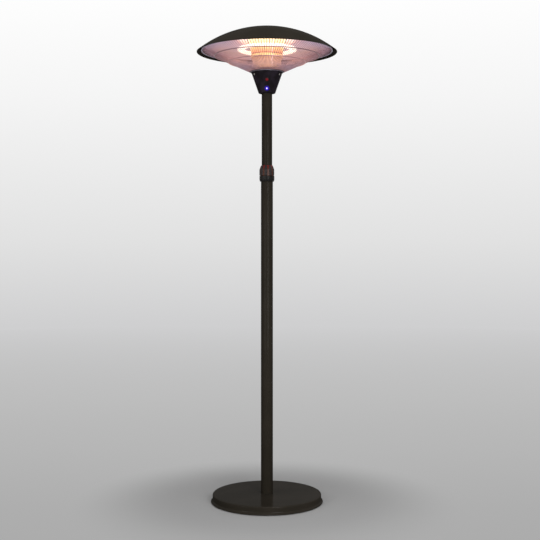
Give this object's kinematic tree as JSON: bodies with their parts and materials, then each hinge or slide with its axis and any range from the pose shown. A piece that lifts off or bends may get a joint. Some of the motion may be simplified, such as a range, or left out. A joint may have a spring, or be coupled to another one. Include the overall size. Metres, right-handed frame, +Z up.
{
  "type": "electric patio heater",
  "caption": "Free-standing electric patio heater with a round weighted base, a telescopic pole with a twist collar, and a domed head with a wire guard round a ring-shaped lamp.",
  "frame": {"origin": "on the floor, under the pole's axis", "axes": "+Z up along the pole, front towards -Y, where the receiver window is"},
  "size_m": [0.6, 0.6, 2.0238],
  "materials": {
    "dark_paint": "satin, finely textured",
    "cast_weight": "as cast, painted",
    "black_rubber": "matt",
    "zinc_steel": "zinc plated",
    "black_plastic": "fine texture",
    "housing_plastic": "glossy",
    "red_plastic": "satin",
    "white_nylon": "natural",
    "cast_alloy": "as cast",
    "polished_aluminium": "polished",
    "guard_wire": "bright plated",
    "heat_shield": "plain",
    "board_green": "coated",
    "dark_component": "plain",
    "ivory_component": "plain",
    "white_ceramic": "unglazed",
    "red_window": "dark red, glossy",
    "blue_lens": "clear blue, lit",
    "quartz": "clear, lit from inside",
    "filament": "white hot"
  },
  "bodies": {
    "stand": {"base_cover": "dark_paint", "ballast_disc": "cast_weight", "rubber_feet": "black_rubber", "base_bolt": "zinc_steel", "foot_plug": "cast_alloy", "lower_pole": "dark_paint", "collar_base": "black_plastic", "clamp_collet": "white_nylon"},
    "collar": {"collar_nut": "red_plastic", "collar_grip": "black_rubber"},
    "mast_slider": {"guide_bush": "white_nylon"},
    "mast_head": {"pole_end_plug": "white_nylon", "bush_retainer": "zinc_steel", "upper_pole": "dark_paint", "neck_socket": "cast_alloy", "housing": "housing_plastic", "housing_top_plate": "heat_shield", "housing_screws": "zinc_steel", "ir_window": "red_window", "led_lens": "blue_lens", "control_board": "board_green", "power_relay": "dark_component", "ir_receiver": "dark_component", "terminal_block": "ivory_component", "tilt_switch": "dark_component", "cable_gland": "black_plastic", "switch_body": "black_plastic", "grille_base_hoop": "guard_wire", "column_lower": "polished_aluminium", "column_upper": "polished_aluminium", "column_stays": "zinc_steel", "canopy_bracket": "heat_shield", "canopy": "dark_paint", "reflector": "polished_aluminium", "grille_wires": "guard_wire", "grille_outer_ring": "guard_wire", "grille_mid_rings": "guard_wire", "grille_clips": "zinc_steel", "lamp_tube": "quartz", "lamp_filament": "filament", "lamp_holder": "white_ceramic", "lamp_arm": "heat_shield", "lamp_clips": "zinc_steel"},
    "rocker": {"rocker_button": "black_plastic"}
  },
  "joints": [
    {"name": "collar_twist", "type": "hinge", "parent": "stand", "child": "collar", "pos_m": [0, 0, 1.4], "axis": [0, 0, 1], "range_deg": [0, 90]},
    {"name": "height_slide", "type": "slide", "parent": "stand", "child": "mast_slider", "axis": [0, 0, 1], "range_m": [-0.28, 0]},
    {"name": "head_swivel", "type": "hinge", "parent": "mast_slider", "child": "mast_head", "pos_m": [0, 0, 1.5], "axis": [0, 0, 1], "continuous": true},
    {"name": "power_rocker", "type": "hinge", "parent": "mast_head", "child": "rocker", "pos_m": [0, 0.05719, 1.796], "axis": [1, 0, 0], "range_deg": [-16, 0]}
  ]
}
